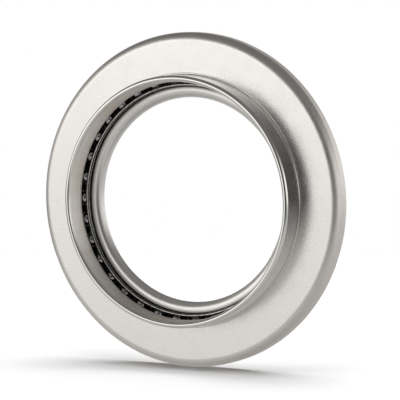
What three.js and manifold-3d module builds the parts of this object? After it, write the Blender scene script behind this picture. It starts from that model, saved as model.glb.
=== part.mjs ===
// Thrust ball bearing in pressed sheet steel, lying in its own frame with the axis along Y.
// A front ring (collar, flat face and skirt), a rear ring, a crown cage and a row of balls.
// Millimetres. The collar points to -Y and +Z is up. The origin is the centre of the bounding box.

import * as THREE from 'three';
import { mergeVertices } from 'three/addons/utils/BufferGeometryUtils.js';
import Module from 'manifold-3d';

const wasm = await Module();
wasm.setup();

// ---------------------------------------------------------------- driving dimensions
// Depths are counted along +Y from the collar's rim.

const SEGMENTS = 64;               // facets round every ring
const OVERALL_DEPTH = 9.6;         // collar rim to the back of the rear raceway

const SHEET = 1.3;                 // thickness of the front ring
const OUTER_RADIUS = 33.95;
const COLLAR_RADIUS = 25.4;        // outside of the collar
const FACE_DEPTH = 5.6;            // flat face, behind the rim
const FOOT_RADIUS = 0.35;          // tight concave corner between collar and face
const BEND_RADIUS = 2.7;           // inside of the bend between collar and face, above the balls
const EDGE_RADIUS = 1.8;           // outer bend between face and skirt
const SKIRT_DEPTH = 9.4;           // rear edge of the skirt
const HEEL_RADIUS = 0.5;           // rear corner of the skirt
const LIP_RADIUS = 31.7;           // inner edge of the lip rolled in behind the rear ring
const LIP_THICKNESS = 0.55;

const BALL_COUNT = 35;
const BALL_RADIUS = 1.25;
const BALL_PITCH_RADIUS = 24.75;
const BALL_DEPTH = 7.3;
const BALL_START_ANGLE = -4.3;     // degrees from +X towards +Z to the first ball
const FRONT_RACE_RADIUS = 1.38;    // groove radii, a running clearance over the ball
const REAR_RACE_RADIUS = 1.35;

const BORE_RADIUS = 20.8;
const BORE_BEND = 1.5;             // rounded edge between bore and shoulder
const BORE_DEPTH = 8.6;            // rear end of the bore flange
const SHOULDER_DEPTH = 6.8;        // shoulder beside the balls
const SHOULDER_CORNER = 0.466;
const REAR_SHEET = 1.0;
const BORE_FLANGE = 1.0;           // thickness round the bore
const FLANGE_DEPTH = 7.63;         // front of the flange under the face
const FLANGE_RADIUS = 32.2;
const CHANNEL_RADIUS = 0.45;       // inside of the fold behind the shoulder

const POCKET_HALF_WIDTH = 1.4;
const POCKET_FLOOR = -1.42;        // pocket end at the cage rim, from the ball centre
const CAGE_RIM = -1.98;            // inner edge of the cage rim
const PRONG_END = 0.8;
const CAGE_FRONT = 0.5;            // cage faces, towards the front race and away from it
const RIM_BACK = -0.1;
const PRONG_BACK = -0.35;
const PRONG_ROOT = -1.2;

// ---------------------------------------------------------------- materials

const satinSteel = new THREE.MeshStandardMaterial({ color: 0xc9c8c4, roughness: 0.35, metalness: 1 });
const racewaySteel = new THREE.MeshStandardMaterial({ color: 0xb9b8b4, roughness: 0.3, metalness: 1 });
const ballSteel = new THREE.MeshStandardMaterial({ color: 0xd5d5d6, roughness: 0.06, metalness: 1 });
const blackCage = new THREE.MeshStandardMaterial({ color: 0x141312, roughness: 0.4, metalness: 0 });

// ---------------------------------------------------------------- profiles

const degrees = THREE.MathUtils.degToRad;
const point = (radius, depth) => new THREE.Vector2(radius, depth);

// Points on an arc in the (radius, depth) plane; 0 degrees points outwards and 90 degrees rearwards.
function arc(centre, radius, from, to, steps) {
  const points = [];
  for (let i = 0; i <= steps; i += 1) {
    const angle = degrees(from + ((to - from) * i) / steps);
    points.push(point(centre.x + radius * Math.cos(angle), centre.y + radius * Math.sin(angle)));
  }
  return points;
}

// Turns a closed (radius, depth) outline about the Y axis.
function revolve(outline) {
  const points = outline.map((p) => point(p.x, p.y - OVERALL_DEPTH / 2));
  return new THREE.LatheGeometry([...points, points[0].clone()], SEGMENTS);
}

const footCentre = point(COLLAR_RADIUS + FOOT_RADIUS, FACE_DEPTH - FOOT_RADIUS);
const bendCentre = point(COLLAR_RADIUS - SHEET + BEND_RADIUS, FACE_DEPTH + SHEET - BEND_RADIUS);
const ballCentre = point(BALL_PITCH_RADIUS, BALL_DEPTH);
const contactDirection = bendCentre.clone().sub(ballCentre).normalize();
const acrossDirection = point(-contactDirection.y, contactDirection.x);

// The groove is a circle about the ball centre that bites into the inside of the bend.
function frontRaceArcs() {
  const toBall = ballCentre.clone().sub(bendCentre);
  const distance = toBall.length();
  const heading = THREE.MathUtils.radToDeg(toBall.angle());
  const spread = (near, far) => THREE.MathUtils.radToDeg(
    Math.acos((distance ** 2 + near ** 2 - far ** 2) / (2 * distance * near)),
  );
  const bendSpread = spread(BEND_RADIUS, FRONT_RACE_RADIUS);
  const grooveSpread = spread(FRONT_RACE_RADIUS, BEND_RADIUS);
  const groove = heading + 180;
  return [
    ...arc(bendCentre, BEND_RADIUS, 90, heading - bendSpread, 1),
    ...arc(ballCentre, FRONT_RACE_RADIUS, groove + grooveSpread, groove - grooveSpread, 5).slice(1, -1),
    ...arc(bendCentre, BEND_RADIUS, heading + bendSpread, 180, 2),
  ];
}

function frontRingOutline() {
  const rimRadius = SHEET / 2;
  const edgeCentre = point(OUTER_RADIUS - EDGE_RADIUS, FACE_DEPTH + EDGE_RADIUS);
  const heelCentre = point(OUTER_RADIUS - HEEL_RADIUS, SKIRT_DEPTH - HEEL_RADIUS);
  const lipFront = SKIRT_DEPTH - LIP_THICKNESS;
  return [
    ...arc(point(COLLAR_RADIUS - rimRadius, rimRadius), rimRadius, 180, 360, 4),
    ...arc(footCentre, FOOT_RADIUS, 180, 90, 2),
    ...arc(edgeCentre, EDGE_RADIUS, 270, 360, 4),
    ...arc(heelCentre, HEEL_RADIUS, 0, 90, 2),
    point(LIP_RADIUS, SKIRT_DEPTH),
    point(LIP_RADIUS, lipFront),
    point(OUTER_RADIUS - SHEET, lipFront),
    ...arc(edgeCentre, EDGE_RADIUS - SHEET, 0, -90, 1),
    ...frontRaceArcs(),
  ];
}

function rearRingOutline() {
  const boreCentre = point(BORE_RADIUS + BORE_BEND, SHOULDER_DEPTH + BORE_BEND);
  const back = REAR_RACE_RADIUS + REAR_SHEET;
  const flangeBack = FLANGE_DEPTH + REAR_SHEET;
  const flangeAngle = (radius, depth) => THREE.MathUtils.radToDeg(Math.asin((depth - BALL_DEPTH) / radius));
  const seatAngle = flangeAngle(back, OVERALL_DEPTH);
  const cornerDepth = SHOULDER_DEPTH + SHOULDER_CORNER;
  const grooveStart = 180 - flangeAngle(REAR_RACE_RADIUS, cornerDepth);
  const grooveEdge = BALL_PITCH_RADIUS + REAR_RACE_RADIUS * Math.cos(degrees(grooveStart));
  const cornerCentre = point(grooveEdge - SHOULDER_CORNER, cornerDepth);
  const channelCentre = point(BORE_RADIUS + BORE_FLANGE + CHANNEL_RADIUS, boreCentre.y);
  return [
    point(BORE_RADIUS, BORE_DEPTH),
    ...arc(boreCentre, BORE_BEND, 180, 270, 4),
    ...arc(cornerCentre, SHOULDER_CORNER, 270, 360, 2),
    ...arc(ballCentre, REAR_RACE_RADIUS, grooveStart, flangeAngle(REAR_RACE_RADIUS, FLANGE_DEPTH), 8).slice(1),
    point(FLANGE_RADIUS, FLANGE_DEPTH),
    point(FLANGE_RADIUS, flangeBack),
    ...arc(ballCentre, back, flangeAngle(back, flangeBack), seatAngle, 2),
    ...arc(ballCentre, back, 180 - seatAngle, 150, 2),
    ...arc(channelCentre, CHANNEL_RADIUS, 0, -180, 3),
    point(BORE_RADIUS + BORE_FLANGE, BORE_DEPTH),
  ];
}

// A point of the cage section: along the cage from the ball centre, and towards the front race.
function cagePoint(across, forward) {
  return ballCentre.clone()
    .addScaledVector(acrossDirection, across)
    .addScaledVector(contactDirection, forward);
}

// ---------------------------------------------------------------- cage

function toSolid(geometry) {
  const bare = geometry.clone();
  bare.deleteAttribute('normal');
  bare.deleteAttribute('uv');
  const merged = mergeVertices(bare, 1e-5);
  return new wasm.Manifold(new wasm.Mesh({
    numProp: 3,
    vertProperties: new Float32Array(merged.attributes.position.array),
    triVerts: new Uint32Array(merged.index.array),
  }));
}

function toGeometry(solid) {
  const mesh = solid.getMesh();
  const geometry = new THREE.BufferGeometry();
  geometry.setAttribute('position', new THREE.BufferAttribute(mesh.vertProperties, 3));
  geometry.setIndex(new THREE.BufferAttribute(mesh.triVerts, 1));
  geometry.computeVertexNormals();
  return geometry;
}

const ballAngle = (index) => degrees(BALL_START_ANGLE + (360 * index) / BALL_COUNT);

// A square-cornered pocket, open on the side away from the cage rim.
function pocketGeometry(angle) {
  const open = PRONG_END + 1;
  const length = open - POCKET_FLOOR;
  const through = 3 * (CAGE_FRONT - PRONG_BACK);
  const centre = cagePoint((open + POCKET_FLOOR) / 2, 0);
  const geometry = new THREE.BoxGeometry(length, through, 2 * POCKET_HALF_WIDTH);
  geometry.rotateZ(acrossDirection.angle());
  geometry.translate(centre.x, centre.y - OVERALL_DEPTH / 2, 0);
  geometry.rotateY(-angle);
  return geometry;
}

function cageGeometry() {
  let cage = toSolid(revolve([
    cagePoint(CAGE_RIM, RIM_BACK),
    cagePoint(CAGE_RIM, CAGE_FRONT),
    cagePoint(PRONG_END, CAGE_FRONT),
    cagePoint(PRONG_END, PRONG_BACK),
    cagePoint(PRONG_ROOT, PRONG_BACK),
    cagePoint(POCKET_FLOOR, RIM_BACK),
  ]));
  for (let i = 0; i < BALL_COUNT; i += 1) {
    cage = cage.subtract(toSolid(pocketGeometry(ballAngle(i))));
  }
  return toGeometry(cage);
}

// ---------------------------------------------------------------- assembly

const bearing = new THREE.Group();

function add(name, geometry, material) {
  const mesh = new THREE.Mesh(geometry, material);
  mesh.name = name;
  bearing.add(mesh);
  return mesh;
}

add('front_ring', revolve(frontRingOutline()), satinSteel);
add('rear_ring', revolve(rearRingOutline()), racewaySteel);
add('ball_cage', cageGeometry(), blackCage);

for (let i = 0; i < BALL_COUNT; i += 1) {
  const angle = ballAngle(i);
  const ball = add(
    `ball_${String(i + 1).padStart(2, '0')}`,
    new THREE.SphereGeometry(BALL_RADIUS, 10, 7),
    ballSteel,
  );
  ball.position.set(
    BALL_PITCH_RADIUS * Math.cos(angle),
    BALL_DEPTH - OVERALL_DEPTH / 2,
    BALL_PITCH_RADIUS * Math.sin(angle),
  );
}

export default bearing;
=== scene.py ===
import math

import bmesh
import bpy
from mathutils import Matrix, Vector


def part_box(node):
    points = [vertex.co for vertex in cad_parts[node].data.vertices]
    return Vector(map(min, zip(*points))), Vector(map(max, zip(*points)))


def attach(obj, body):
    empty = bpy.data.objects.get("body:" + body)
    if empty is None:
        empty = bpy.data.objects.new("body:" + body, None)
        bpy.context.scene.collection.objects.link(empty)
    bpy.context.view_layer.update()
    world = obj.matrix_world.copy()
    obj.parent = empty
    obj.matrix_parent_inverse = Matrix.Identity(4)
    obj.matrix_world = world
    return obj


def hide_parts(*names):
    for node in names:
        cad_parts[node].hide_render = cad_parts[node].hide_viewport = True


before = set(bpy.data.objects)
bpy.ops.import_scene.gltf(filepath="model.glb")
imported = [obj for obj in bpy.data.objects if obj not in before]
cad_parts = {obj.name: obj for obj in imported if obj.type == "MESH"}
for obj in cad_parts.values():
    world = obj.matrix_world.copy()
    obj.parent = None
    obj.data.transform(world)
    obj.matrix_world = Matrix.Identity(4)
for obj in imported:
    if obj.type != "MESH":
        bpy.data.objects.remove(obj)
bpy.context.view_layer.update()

# A thrust ball bearing of pressed sheet steel. Its axis is Y, the collar faces -Y and it stands
# on its rim. Lengths are in metres; profiles are (radius, depth) in millimetres, with the depth
# counted from the collar's rim towards the back.

scene = bpy.context.scene
MM = 0.001

# ---------------------------------------------------------------- sizes taken from the frame

front_low, front_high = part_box("front_ring")
rear_low, rear_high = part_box("rear_ring")
BALL_NODES = sorted(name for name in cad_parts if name.startswith("ball_") and name != "ball_cage")
first_low, first_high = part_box(BALL_NODES[0])
first_centre = (first_low + first_high) / 2

RIM_Y = front_low.y
OUTER_RADIUS = front_high.x / MM
SKIRT_DEPTH = (front_high.y - RIM_Y) / MM
SHOULDER_DEPTH = (rear_low.y - RIM_Y) / MM
SEAT_DEPTH = (rear_high.y - RIM_Y) / MM
FLANGE_RADIUS = rear_high.x / MM
BALL_RADIUS = (first_high.y - first_low.y) / 2 / MM
BALL_DEPTH = (first_centre.y - RIM_Y) / MM
PITCH_RADIUS = math.hypot(first_centre.x, first_centre.z) / MM

# ---------------------------------------------------------------- named sizes, in millimetres

RING_STEPS = 360

SHEET = 1.3
COLLAR_RADIUS = 25.4
FACE_DEPTH = 5.6
MOUTH_DEPTH = 1.1              # the rim's rounding reaches this deep on the inside
FOOT_RADIUS = 0.12
RELIEF_RADIUS = 0.15           # a narrow groove beside the foot of the collar
RELIEF_DEPTH = 0.38
BEND_RADIUS = 2.7
EDGE_RADIUS = 1.8
HEEL_RADIUS = 0.5
LIP_RADIUS = 31.7
LIP_THICKNESS = 0.55
CORNER = 0.12
FRONT_RACE_RADIUS = 1.38

BORE_RADIUS = 20.8
BORE_BEND = 1.5
BORE_DEPTH = 8.6
SHOULDER_CORNER = 0.466
REAR_SHEET = 1.0
BORE_FLANGE = 1.0
FLANGE_DEPTH = 7.63
CHANNEL_RADIUS = 0.45
REAR_RACE_RADIUS = 1.35

POCKET_HALF_WIDTH = 1.4
POCKET_FLOOR = -1.42
CAGE_RIM = -1.98
PRONG_ROOT = -1.2
PRONG_END = 0.8
CAGE_FRONT = 0.5
RIM_BACK = -0.1
PRONG_BACK = -0.35
CAGE_EDGE = 0.15

SUPPORT_GAP = 0.06             # from a straight's end to the point that keeps its shading flat
TURNING_STRETCH = 0.0006       # metres of texture for a radian of turning mark
SHADE_START, SHADE_END = 0.1, 0.7   # the painted shade on the shoulder darkens between these, outside the bore's bend
SHADE_FRONT, SHADE_BACK = 0.6, 0.8  # and it ends between these depths behind the shoulder

# ---------------------------------------------------------------- view

AZIMUTH = 28.0                 # degrees
ELEVATION = 4.3
DISTANCE = 500 * MM            # from the camera to the point it aims at
FRAME_WIDTH = 80 * MM          # width of the picture at that distance
AIM_RIGHT = 5.4 * MM           # that point lies this far beside the rim's centre
AIM_UP = 0.48 * MM
SENSOR = 36

FLOOR_RADIUS = 0.25
SUN_SPREAD = 80                # degrees, for a soft shadow
SUN_STRENGTH = 3.75
SUN_HEADING = (0.0, -0.08, -1.0)
TENT_RADIUS = 3.0
GLOW_COLOUR = (1.0, 0.985, 0.96, 1)
# Wall brightness by heading, in degrees from -Y towards +X, set for the bands in the metal.
WALLS = ((-180, 1.0), (-152, 0.9), (-130, 0.4), (-92, 0.35), (-70, 0.45), (-60, 0.9), (-48, 1.3),
         (-16, 1.3), (-6, 0.9), (1, 0.3), (8, 0.06), (44, 0.05), (56, 0.4), (72, 1.0), (98, 1.05),
         (116, 0.82), (132, 0.76), (152, 0.88), (168, 1.0), (180, 1.0))
# Heights are sines of the elevation seen from the bearing.
WALL_FOOT, WALL_TOP = (-0.2, 0.48), (0.08, 1.1)   # height and share of the walls' brightness
CEILING_START, CEILING_END, CEILING = 0.16, 0.62, 0.16
GROUND_START, GROUND_END = -0.05, -0.42
GROUND, NADIR = 0.56, 0.4


# ---------------------------------------------------------------- profiles


def arc(centre, radius, start, end, steps=14):
    """Points on an arc; 0 degrees points outwards and 90 degrees rearwards."""
    points = []
    for i in range(steps + 1):
        angle = math.radians(start + (end - start) * i / steps)
        points.append((centre[0] + radius * math.cos(angle), centre[1] + radius * math.sin(angle)))
    return points


def supported(points, gap=SUPPORT_GAP):
    """The closed outline, with a point close to both ends of each long straight to keep it flat."""
    outline = []
    for (r0, d0), (r1, d1) in zip(points, points[1:] + points[:1]):
        length = math.hypot(r1 - r0, d1 - d0)
        if length < 1e-6:
            continue
        outline.append((r0, d0))
        if length > 6 * gap:
            for share in (gap / length, 1 - gap / length):
                outline.append((r0 + (r1 - r0) * share, d0 + (d1 - d0) * share))
    return outline


def spread(distance, near, far):
    """Angle at the centre of the near circle between the other centre and where the circles cross."""
    return math.degrees(math.acos((distance**2 + near**2 - far**2) / (2 * distance * near)))


bend_centre = (COLLAR_RADIUS - SHEET + BEND_RADIUS, FACE_DEPTH + SHEET - BEND_RADIUS)
ball_centre = (PITCH_RADIUS, BALL_DEPTH)
contact = Vector((bend_centre[0] - ball_centre[0], bend_centre[1] - ball_centre[1])).normalized()
across = Vector((-contact.y, contact.x))


def front_outline():
    rim = SHEET / 2
    crest = (COLLAR_RADIUS - rim, rim)
    groove_start = COLLAR_RADIUS + FOOT_RADIUS
    groove_bottom = FACE_DEPTH + RELIEF_DEPTH - RELIEF_RADIUS
    edge_centre = (OUTER_RADIUS - EDGE_RADIUS, FACE_DEPTH + EDGE_RADIUS)
    heel_centre = (OUTER_RADIUS - HEEL_RADIUS, SKIRT_DEPTH - HEEL_RADIUS)
    lip_front = SKIRT_DEPTH - LIP_THICKNESS
    distance = math.dist(bend_centre, ball_centre)
    heading = math.degrees(math.atan2(ball_centre[1] - bend_centre[1], ball_centre[0] - bend_centre[0]))
    bend_spread = spread(distance, BEND_RADIUS, FRONT_RACE_RADIUS)
    groove_spread = spread(distance, FRONT_RACE_RADIUS, BEND_RADIUS)
    groove = heading + 180
    return supported([
        *((r, (d - rim) * MOUTH_DEPTH / rim + MOUTH_DEPTH) for r, d in arc(crest, rim, 180, 270, 14)),
        *arc(crest, rim, 270, 360, 12)[1:],
        *arc((groove_start, FACE_DEPTH - FOOT_RADIUS), FOOT_RADIUS, 180, 90, 6),
        *arc((groove_start + RELIEF_RADIUS, groove_bottom), RELIEF_RADIUS, 180, 0, 10),
        (groove_start + 2 * RELIEF_RADIUS, FACE_DEPTH),
        *arc(edge_centre, EDGE_RADIUS, 270, 360, 18),
        *arc(heel_centre, HEEL_RADIUS, 0, 90, 10),
        *arc((LIP_RADIUS + CORNER, SKIRT_DEPTH - CORNER), CORNER, 90, 180, 4),
        *arc((LIP_RADIUS + CORNER, lip_front + CORNER), CORNER, 180, 270, 4),
        *arc((OUTER_RADIUS - SHEET - CORNER, lip_front - CORNER), CORNER, 90, 0, 4),
        *arc(edge_centre, EDGE_RADIUS - SHEET, 0, -90, 6),
        *arc(bend_centre, BEND_RADIUS, 90, heading - bend_spread, 8),
        *arc(ball_centre, FRONT_RACE_RADIUS, groove + groove_spread, groove - groove_spread, 16),
        *arc(bend_centre, BEND_RADIUS, heading + bend_spread, 180, 8),
    ])


def rear_outline():
    bore_centre = (BORE_RADIUS + BORE_BEND, SHOULDER_DEPTH + BORE_BEND)
    back = REAR_RACE_RADIUS + REAR_SHEET
    flange_back = FLANGE_DEPTH + REAR_SHEET

    def angle_at(radius, depth):
        return math.degrees(math.asin((depth - BALL_DEPTH) / radius))

    seat = angle_at(back, SEAT_DEPTH)
    corner_depth = SHOULDER_DEPTH + SHOULDER_CORNER
    groove_start = 180 - angle_at(REAR_RACE_RADIUS, corner_depth)
    groove_edge = PITCH_RADIUS + REAR_RACE_RADIUS * math.cos(math.radians(groove_start))
    channel_centre = (BORE_RADIUS + BORE_FLANGE + CHANNEL_RADIUS, bore_centre[1])
    return supported([
        *arc((BORE_RADIUS + CORNER, BORE_DEPTH - CORNER), CORNER, 90, 180, 4),
        *arc(bore_centre, BORE_BEND, 180, 270, 18),
        *arc((groove_edge - SHOULDER_CORNER, corner_depth), SHOULDER_CORNER, 270, 360, 10),
        *arc(ball_centre, REAR_RACE_RADIUS, groove_start, angle_at(REAR_RACE_RADIUS, FLANGE_DEPTH), 20),
        *arc((FLANGE_RADIUS - CORNER, FLANGE_DEPTH + CORNER), CORNER, 270, 360, 4),
        *arc((FLANGE_RADIUS - CORNER, flange_back - CORNER), CORNER, 0, 90, 4),
        *arc(ball_centre, back, angle_at(back, flange_back), seat, 8),
        *arc(ball_centre, back, 180 - seat, 150, 8),
        *arc(channel_centre, CHANNEL_RADIUS, 0, -180, 12),
        *arc((BORE_RADIUS + BORE_FLANGE - CORNER, BORE_DEPTH - CORNER), CORNER, 0, 90, 4),
    ])


# ---------------------------------------------------------------- meshes


def finish_mesh(bm, name, material, slot, body, *nodes):
    """Makes the object, shades it smooth, and lets it ride on its body in place of the CAD nodes."""
    bmesh.ops.recalc_face_normals(bm, faces=bm.faces)
    mesh = bpy.data.meshes.new(name)
    bm.to_mesh(mesh)
    bm.free()
    mesh.shade_smooth()
    mesh.materials.append(material)
    obj = bpy.data.objects.new(name, mesh)
    scene.collection.objects.link(obj)
    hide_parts(*nodes)
    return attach(obj, body)


def place(radius, depth, angle):
    """A point of the frame from its radius and depth in millimetres and its angle from +X towards +Z."""
    return Vector((radius * MM * math.cos(angle), RIM_Y + depth * MM, radius * MM * math.sin(angle)))


def ring(outline):
    """The outline turned about the bearing's axis."""
    bm = bmesh.new()
    loops = []
    for i in range(RING_STEPS):
        angle = math.tau * i / RING_STEPS
        loops.append([bm.verts.new(place(r, d, angle)) for r, d in outline])
    count = len(outline)
    for i in range(RING_STEPS):
        here, there = loops[i], loops[(i + 1) % RING_STEPS]
        for k in range(count):
            n = (k + 1) % count
            bm.faces.new((here[k], here[n], there[n], there[k]))
    return bm


def ball_angles():
    """The angle of each ball's centre round the axis, in order."""
    angles = []
    for name in BALL_NODES:
        low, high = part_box(name)
        centre = (low + high) / 2
        angles.append(math.atan2(centre.z, centre.x) % math.tau)
    return sorted(angles)


def cage_mesh():
    """A rim with prongs between the balls.

    The pocket sides are parallel, so their angle depends on the radius.
    """

    def section(u, v):
        return (ball_centre[0] + across.x * u + contact.x * v,
                ball_centre[1] + across.y * u + contact.y * v)

    rim = [section(CAGE_RIM, RIM_BACK), section(CAGE_RIM, CAGE_FRONT),
           section(POCKET_FLOOR, CAGE_FRONT), section(POCKET_FLOOR, RIM_BACK)]
    prong = [section(POCKET_FLOOR, CAGE_FRONT), section(PRONG_END, CAGE_FRONT),
             section(PRONG_END, PRONG_BACK), section(PRONG_ROOT, PRONG_BACK),
             section(POCKET_FLOOR, RIM_BACK)]
    bm = bmesh.new()

    def station(points, angle, side):
        return [bm.verts.new(place(r, d, angle + side * math.asin(POCKET_HALF_WIDTH / r)))
                for r, d in points]

    def skin(here, there, skip=()):
        for k in range(len(here)):
            if k not in skip:
                n = (k + 1) % len(here)
                bm.faces.new((here[k], here[n], there[n], there[k]))

    angles = ball_angles()
    pitch = math.tau / len(angles)
    rows = []
    for angle in angles:
        before, after = station(rim, angle, -1), station(rim, angle, 1)
        root, tip = station(prong[1:4], angle, 1), station(prong[1:4], angle + pitch, -1)
        rows.append((before, after, root, tip))
    for i, (before, after, root, tip) in enumerate(rows):
        middle = [bm.verts.new(place(r, d, angles[i])) for r, d in rim]
        skin(before, middle)
        skin(middle, after)
        following = rows[(i + 1) % len(rows)][0]
        skin(after, following, skip=(2,))
        start = [after[2], *root, after[3]]
        end = [following[2], *tip, following[3]]
        skin(start, end, skip=(4,))
        bm.faces.new(start)
        bm.faces.new(end)
    return bm


def soften(obj, width, edge_material):
    """Rounds the edges and gives the rounding a material of its own."""
    obj.data.materials.append(edge_material)
    bevel = obj.modifiers.new("edges", "BEVEL")
    bevel.material = 1
    bevel.width = width * MM
    bevel.segments = 3
    bevel.limit_method = "ANGLE"
    bevel.angle_limit = math.radians(25)
    normals = obj.modifiers.new("normals", "WEIGHTED_NORMAL")
    normals.keep_sharp = True


# ---------------------------------------------------------------- materials


class Nodes:
    """Short calls for building a node tree."""

    def __init__(self, tree):
        self.tree = tree
        tree.nodes.clear()

    def add(self, kind, _inputs=None, **settings):
        node = self.tree.nodes.new(kind)
        for key, value in settings.items():
            setattr(node, key, value)
        for key, value in (_inputs or {}).items():
            if isinstance(value, bpy.types.NodeSocket):
                self.tree.links.new(value, node.inputs[key])
            else:
                node.inputs[key].default_value = value
        return node

    def math(self, operation, a, b=0.0, c=0.0):
        return self.add("ShaderNodeMath", {0: a, 1: b, 2: c}, operation=operation).outputs[0]

    def noise(self, vector, scale, detail=2.0, roughness=0.5):
        node = self.add("ShaderNodeTexNoise",
                        {"Vector": vector, "Scale": scale, "Detail": detail, "Roughness": roughness})
        return node.outputs["Fac"]

    def remap(self, value, low, high, to_low, to_high, kind="LINEAR"):
        inputs = {"Value": value, "From Min": low, "From Max": high, "To Min": to_low, "To Max": to_high}
        return self.add("ShaderNodeMapRange", inputs, interpolation_type=kind).outputs["Result"]

    def mix(self, factor, a, b):
        node = self.add("ShaderNodeMix", data_type="RGBA")
        for key, value in ((0, factor), (6, a), (7, b)):
            if isinstance(value, bpy.types.NodeSocket):
                self.tree.links.new(value, node.inputs[key])
            else:
                node.inputs[key].default_value = value
        return node.outputs[2]

    def bump(self, height, distance, strength=1.0, normal=None):
        inputs = {"Height": height, "Distance": distance, "Strength": strength}
        if normal is not None:
            inputs["Normal"] = normal
        return self.add("ShaderNodeBump", inputs).outputs["Normal"]

    def surface(self, **sockets):
        inputs = {key.replace("_", " "): value for key, value in sockets.items()}
        shader = self.add("ShaderNodeBsdfPrincipled", inputs)
        self.add("ShaderNodeOutputMaterial", {"Surface": shader.outputs[0]})


def material(name):
    made = bpy.data.materials.new(name)
    made.use_nodes = True
    return made, Nodes(made.node_tree)


def ring_coordinates(n):
    """The point, its radius, its Y, and the point stretched along the ring for marks left by turning."""
    at = n.add("ShaderNodeTexCoord").outputs["Object"]
    x, y, z = n.add("ShaderNodeSeparateXYZ", {0: at}).outputs
    radius = n.math("SQRT", n.math("ADD", n.math("MULTIPLY", x, x), n.math("MULTIPLY", z, z)))
    turn = n.math("MULTIPLY", n.math("ARCTAN2", z, x), TURNING_STRETCH)
    along = n.add("ShaderNodeCombineXYZ", {0: radius, 1: y, 2: turn}).outputs[0]
    return at, radius, y, along


def satin_steel():
    """Rolled sheet, satin and faintly grainy on the face and skirt, turned bright on the collar."""
    made, n = material("satin steel")
    at, radius, _, along = ring_coordinates(n)
    wall = COLLAR_RADIUS - SHEET
    edge = OUTER_RADIUS - EDGE_RADIUS
    collar = n.remap(radius, (COLLAR_RADIUS + 0.15) * MM, (COLLAR_RADIUS + 0.6) * MM, 1.0, 0.0)
    sheet = n.math("SUBTRACT", 1.0, collar)
    inside = n.remap(radius, (wall + 0.05) * MM, (wall + 0.3) * MM, 1.0, 0.0)
    skirt = n.remap(radius, edge * MM, (edge + EDGE_RADIUS / 2) * MM, 0.0, 1.0)
    grain = n.noise(at, 5200, 3, 0.6)
    blotch = n.noise(at, 260, 4, 0.6)
    turning = n.noise(along, 9000, 3, 0.6)

    stain = n.remap(n.noise(at, 130, 3, 0.6), 0.38, 0.62, 0.0, 1.0)
    tarnish = n.mix(stain, (0.99, 0.97, 0.95, 1), (0.90, 0.84, 0.77, 1))
    warm = n.mix(n.noise(at, 700, 3, 0.6), (0.90, 0.87, 0.84, 1), (0.80, 0.76, 0.73, 1))
    colour = n.mix(blotch, (0.80, 0.79, 0.77, 1), (0.88, 0.87, 0.85, 1))
    colour = n.mix(inside, colour, tarnish)
    colour = n.mix(skirt, colour, warm)

    rough_collar = n.math("ADD", n.remap(turning, 0.3, 0.7, 0.05, 0.10), n.math("MULTIPLY", inside, 0.5))
    rough_sheet = n.math("ADD", n.remap(blotch, 0.3, 0.7, 0.22, 0.30),
                         n.remap(grain, 0.3, 0.7, -0.03, 0.04))
    rough_sheet = n.math("ADD", rough_sheet, n.math("MULTIPLY", skirt, 0.14))
    roughness = n.math("ADD", n.math("MULTIPLY", collar, rough_collar),
                       n.math("MULTIPLY", sheet, rough_sheet))

    coarse = n.math("MULTIPLY", n.noise(at, 2600, 2, 0.6), n.math("MULTIPLY", skirt, 1.6))
    normal = n.bump(n.math("ADD", n.math("MULTIPLY", grain, sheet), coarse), 0.02 * MM, 0.7)
    normal = n.bump(turning, 0.003 * MM, 0.5, normal)
    n.surface(Base_Color=colour, Metallic=1.0, Roughness=roughness, Normal=normal)
    return made


def raceway_steel():
    """Turned steel, with painted shade, a near-black colour, on the front of the shoulder beside the balls.
    """
    made, n = material("raceway steel")
    at, radius, y, along = ring_coordinates(n)
    shoulder = BORE_RADIUS + BORE_BEND
    front = RIM_Y + SHOULDER_DEPTH * MM
    beside = n.remap(radius, (shoulder + SHADE_START) * MM, (shoulder + SHADE_END) * MM, 0.0, 1.0)
    in_front = n.remap(y, front + SHADE_FRONT * MM, front + SHADE_BACK * MM, 1.0, 0.0)
    turning = n.noise(along, 8000, 3, 0.6)
    blotch = n.noise(at, 240, 3, 0.6)
    colour = n.mix(blotch, (0.86, 0.85, 0.83, 1), (0.94, 0.93, 0.91, 1))
    # painted shade: the front of the shoulder beside the balls is coloured near black
    colour = n.mix(n.math("MULTIPLY", beside, in_front), colour, (0.05, 0.048, 0.045, 1))
    roughness = n.math("ADD", n.remap(turning, 0.3, 0.7, 0.30, 0.40),
                       n.remap(blotch, 0.3, 0.7, -0.02, 0.03))
    normal = n.bump(turning, 0.008 * MM, 0.6)
    n.surface(Base_Color=colour, Metallic=1.0, Roughness=roughness, Normal=normal)
    return made


def ball_steel():
    """Polished steel with a faint haze, darker than bare steel: painted shade for the dim inside of the
    bearing.
    """
    made, n = material("ball steel")
    at = n.add("ShaderNodeTexCoord").outputs["Object"]
    haze = n.noise(at, 900, 2, 0.5)
    scratch = n.noise(at, 6000, 2, 0.6)
    # painted shade: the steel's colour is set darker for the dim inside of the bearing
    colour = n.mix(haze, (0.42, 0.42, 0.43, 1), (0.52, 0.52, 0.53, 1))
    n.surface(Base_Color=colour, Metallic=1.0, Roughness=n.remap(scratch, 0.3, 0.7, 0.03, 0.06))
    return made


def black_cage():
    """A black moulding with a low gloss."""
    made, n = material("black cage")
    at = n.add("ShaderNodeTexCoord").outputs["Object"]
    grain = n.noise(at, 4200, 3, 0.6)
    cloud = n.noise(at, 500, 2, 0.5)
    colour = n.mix(cloud, (0.008, 0.0075, 0.007, 1), (0.016, 0.015, 0.014, 1))
    n.surface(Base_Color=colour, Roughness=n.remap(grain, 0.3, 0.7, 0.24, 0.4),
              Normal=n.bump(grain, 0.008 * MM, 0.5))
    return made


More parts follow.
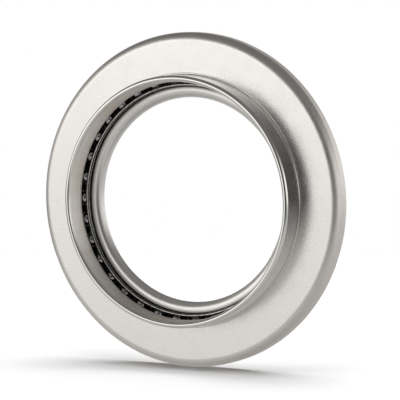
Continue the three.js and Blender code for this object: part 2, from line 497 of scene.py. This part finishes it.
def painted_glint_edge():
    """Bright metal on the cage's rounded edges, a painted glint on the black moulding."""
    made, n = material("painted glint edge")
    at = n.add("ShaderNodeTexCoord").outputs["Object"]
    patch = n.noise(at, 1500, 3, 0.6)
    # painted glint: the edges' bright metal colour stands in for highlights on the rounded edges
    colour = n.mix(n.remap(patch, 0.4, 0.6, 0.0, 1.0), (0.62, 0.61, 0.60, 1), (0.95, 0.94, 0.92, 1))
    n.surface(Base_Color=colour, Metallic=1.0, Roughness=n.remap(patch, 0.3, 0.7, 0.36, 0.24))
    return made


# ---------------------------------------------------------------- the bearing


def build_bearing():
    finish_mesh(ring(front_outline()), "front_ring_fine", satin_steel(), "satin_steel",
                "front_ring", "front_ring")
    finish_mesh(ring(rear_outline()), "rear_ring_fine", raceway_steel(), "raceway_steel",
                "rear_ring", "rear_ring")
    cage = finish_mesh(cage_mesh(), "cage_fine", black_cage(), "black_cage", "cage", "ball_cage")
    # the cage's rounded edges get a bright metal, a painted glint
    soften(cage, CAGE_EDGE, painted_glint_edge())
    polished = ball_steel()
    for name in BALL_NODES:
        low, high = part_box(name)
        bm = bmesh.new()
        bmesh.ops.create_icosphere(bm, subdivisions=4, radius=BALL_RADIUS * MM)
        bmesh.ops.translate(bm, verts=bm.verts, vec=(low + high) / 2)
        finish_mesh(bm, name + "_fine", polished, "ball_steel", name, name)


# ---------------------------------------------------------------- studio


def add_floor():
    """A small pale disc under the bearing, which the metal doesn't mirror."""
    bm = bmesh.new()
    bmesh.ops.create_circle(bm, cap_ends=True, segments=96, radius=FLOOR_RADIUS)
    mesh = bpy.data.meshes.new("floor")
    bm.to_mesh(mesh)
    bm.free()
    made, n = material("floor")
    at = n.add("ShaderNodeTexCoord").outputs["Object"]
    pale = n.mix(n.noise(at, 60, 3, 0.5), (0.93, 0.93, 0.93, 1), (0.95, 0.95, 0.95, 1))
    n.surface(Base_Color=pale, Roughness=0.9)
    mesh.materials.append(made)
    floor = bpy.data.objects.new("floor", mesh)
    floor.location.z = front_low.z
    floor.visible_glossy = False
    scene.collection.objects.link(floor)


def add_sun():
    """Lights the floor from above; the metal doesn't mirror it."""
    data = bpy.data.lights.new("sun", "SUN")
    data.angle = math.radians(SUN_SPREAD)
    data.energy = SUN_STRENGTH
    sun = bpy.data.objects.new("sun", data)
    sun.rotation_mode = "QUATERNION"
    sun.rotation_quaternion = Vector(SUN_HEADING).to_track_quat("-Z", "Y")
    scene.collection.objects.link(sun)
    sun.visible_glossy = False


def add_tent():
    """What the metal mirrors: bright and dark walls round the bearing under a dim ceiling, out of sight."""
    bm = bmesh.new()
    bmesh.ops.create_uvsphere(bm, u_segments=64, v_segments=32, radius=TENT_RADIUS)
    mesh = bpy.data.meshes.new("tent")
    bm.to_mesh(mesh)
    bm.free()
    made, n = material("tent")
    at = n.add("ShaderNodeTexCoord").outputs["Object"]
    x, y, z = n.add("ShaderNodeSeparateXYZ", {0: at}).outputs
    heading = n.math("DIVIDE", n.math("ARCTAN2", x, n.math("MULTIPLY", y, -1.0)), math.tau)
    around = n.add("ShaderNodeValToRGB", {0: n.math("ADD", heading, 0.5)})
    ramp = around.color_ramp
    while len(ramp.elements) < len(WALLS):
        ramp.elements.new(1.0)
    for element, (degrees, level) in zip(ramp.elements, WALLS):
        element.position = degrees / 360 + 0.5
        element.color = (level, level, level, 1)
    height = n.math("DIVIDE", z, TENT_RADIUS)
    rise = n.remap(height, WALL_FOOT[0], WALL_TOP[0], WALL_FOOT[1], WALL_TOP[1], "SMOOTHSTEP")
    above = n.remap(height, CEILING_START, CEILING_END, 0.0, 1.0, "SMOOTHSTEP")
    below = n.remap(height, GROUND_START, GROUND_END, 0.0, 1.0, "SMOOTHSTEP")
    ground = n.remap(height, GROUND_END, -1.0, GROUND, NADIR)
    open_part = n.math("SUBTRACT", n.math("SUBTRACT", 1.0, above), below)
    level = n.math("ADD", n.math("MULTIPLY", n.math("MULTIPLY", around.outputs[0], rise), open_part),
                   n.math("ADD", n.math("MULTIPLY", above, CEILING), n.math("MULTIPLY", below, ground)))
    cloud = n.remap(n.noise(at, 0.9, 3, 0.6), 0.3, 0.7, 0.9, 1.1)
    glow = n.add("ShaderNodeEmission", {"Color": GLOW_COLOUR, "Strength": n.math("MULTIPLY", level, cloud)})
    n.add("ShaderNodeOutputMaterial", {"Surface": glow.outputs[0]})
    mesh.materials.append(made)
    tent = bpy.data.objects.new("tent", mesh)
    scene.collection.objects.link(tent)
    tent.visible_camera = False
    tent.visible_diffuse = False
    tent.visible_shadow = False


def add_world():
    """A white backdrop for the camera alone."""
    world = bpy.data.worlds.new("studio")
    scene.world = world
    world.use_nodes = True
    n = Nodes(world.node_tree)
    background = n.add("ShaderNodeBackground", {"Color": (1, 1, 1, 1), "Strength": 1.0})
    n.add("ShaderNodeOutputWorld", {"Surface": background.outputs[0]})
    world.cycles_visibility.glossy = False
    world.cycles_visibility.diffuse = False


def add_camera():
    azimuth, elevation = math.radians(AZIMUTH), math.radians(ELEVATION)
    level = math.cos(elevation)
    back = Vector((math.sin(azimuth) * level, -math.cos(azimuth) * level, math.sin(elevation)))
    right = Vector((math.cos(azimuth), math.sin(azimuth), 0))
    up = back.cross(right)
    aim = Vector((0, RIM_Y, 0)) + right * AIM_RIGHT + up * AIM_UP
    data = bpy.data.cameras.new("camera")
    data.sensor_width = SENSOR
    data.lens = SENSOR * DISTANCE / FRAME_WIDTH
    data.clip_start, data.clip_end = 0.01, 50
    camera = bpy.data.objects.new("camera", data)
    camera.location = aim + back * DISTANCE
    camera.rotation_mode = "QUATERNION"
    camera.rotation_quaternion = (-back).to_track_quat("-Z", "Y")
    scene.collection.objects.link(camera)
    scene.camera = camera


def build_studio():
    add_floor()
    add_sun()
    add_tent()
    add_world()
    add_camera()
    scene.view_settings.view_transform = "Standard"


build_bearing()
build_studio()
